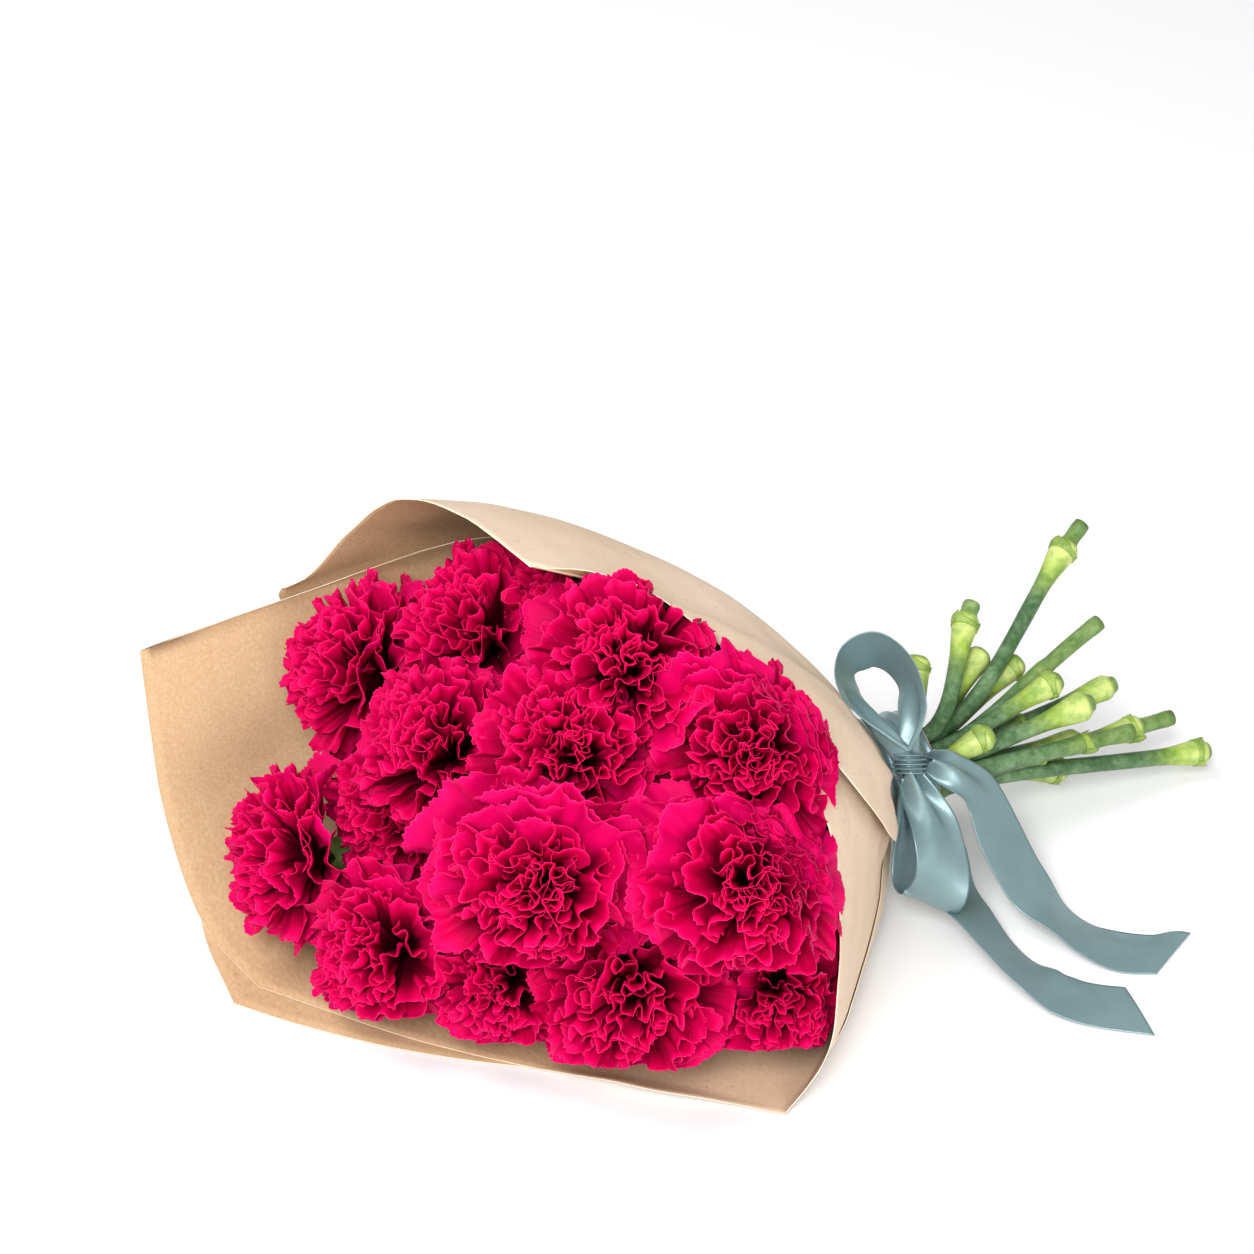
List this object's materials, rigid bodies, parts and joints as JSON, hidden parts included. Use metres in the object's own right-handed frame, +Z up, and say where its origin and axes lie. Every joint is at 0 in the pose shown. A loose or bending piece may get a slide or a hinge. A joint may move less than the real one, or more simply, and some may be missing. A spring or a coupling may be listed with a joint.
{
  "type": "bouquet",
  "caption": "Bouquet of frilled carnations rolled in layered kraft paper and tied with a satin ribbon bow, lying on its side",
  "frame": {"origin": "on the resting surface, under the middle of the bounding box", "axes": "+Z up; the bunch lies along X with the heads towards -X and the cut stem ends towards +X; the bow is on the -Y side"},
  "size_m": [0.4408, 0.3, 0.1806],
  "materials": {
    "kraft_paper": "matte unbleached kraft paper with fine fibres and flecks",
    "satin_ribbon": "grey-teal satin weave with soft stretched highlights",
    "stem_green": "smooth waxy green with paler yellow-green joints",
    "petal_pink": "soft velvety deep pink with paler ragged edges"
  },
  "bodies": {
    "root": {"paper_inner_sheet": "kraft_paper", "paper_outer_sheet": "kraft_paper", "ribbon_waist_band": "satin_ribbon", "ribbon_knot": "satin_ribbon", "ribbon_upper_loop": "satin_ribbon", "ribbon_lower_loop": "satin_ribbon", "ribbon_tail_near": "satin_ribbon", "ribbon_tail_far": "satin_ribbon", "stem_a": "stem_green", "stem_b": "stem_green", "stem_c": "stem_green", "stem_e": "stem_green", "stem_f": "stem_green", "stem_g": "stem_green", "stem_h": "stem_green", "stem_j": "stem_green", "stem_k": "stem_green", "stem_l": "stem_green", "stem_m": "stem_green", "stem_n": "stem_green", "stem_o": "stem_green", "stem_p": "stem_green", "stem_q": "stem_green", "petals_a": "petal_pink", "petals_b": "petal_pink", "petals_c": "petal_pink", "petals_e": "petal_pink", "petals_f": "petal_pink", "petals_g": "petal_pink", "petals_h": "petal_pink", "petals_j": "petal_pink", "petals_k": "petal_pink", "petals_l": "petal_pink", "petals_m": "petal_pink", "petals_n": "petal_pink", "petals_o": "petal_pink", "petals_p": "petal_pink", "petals_q": "petal_pink"}
  },
  "joints": []
}
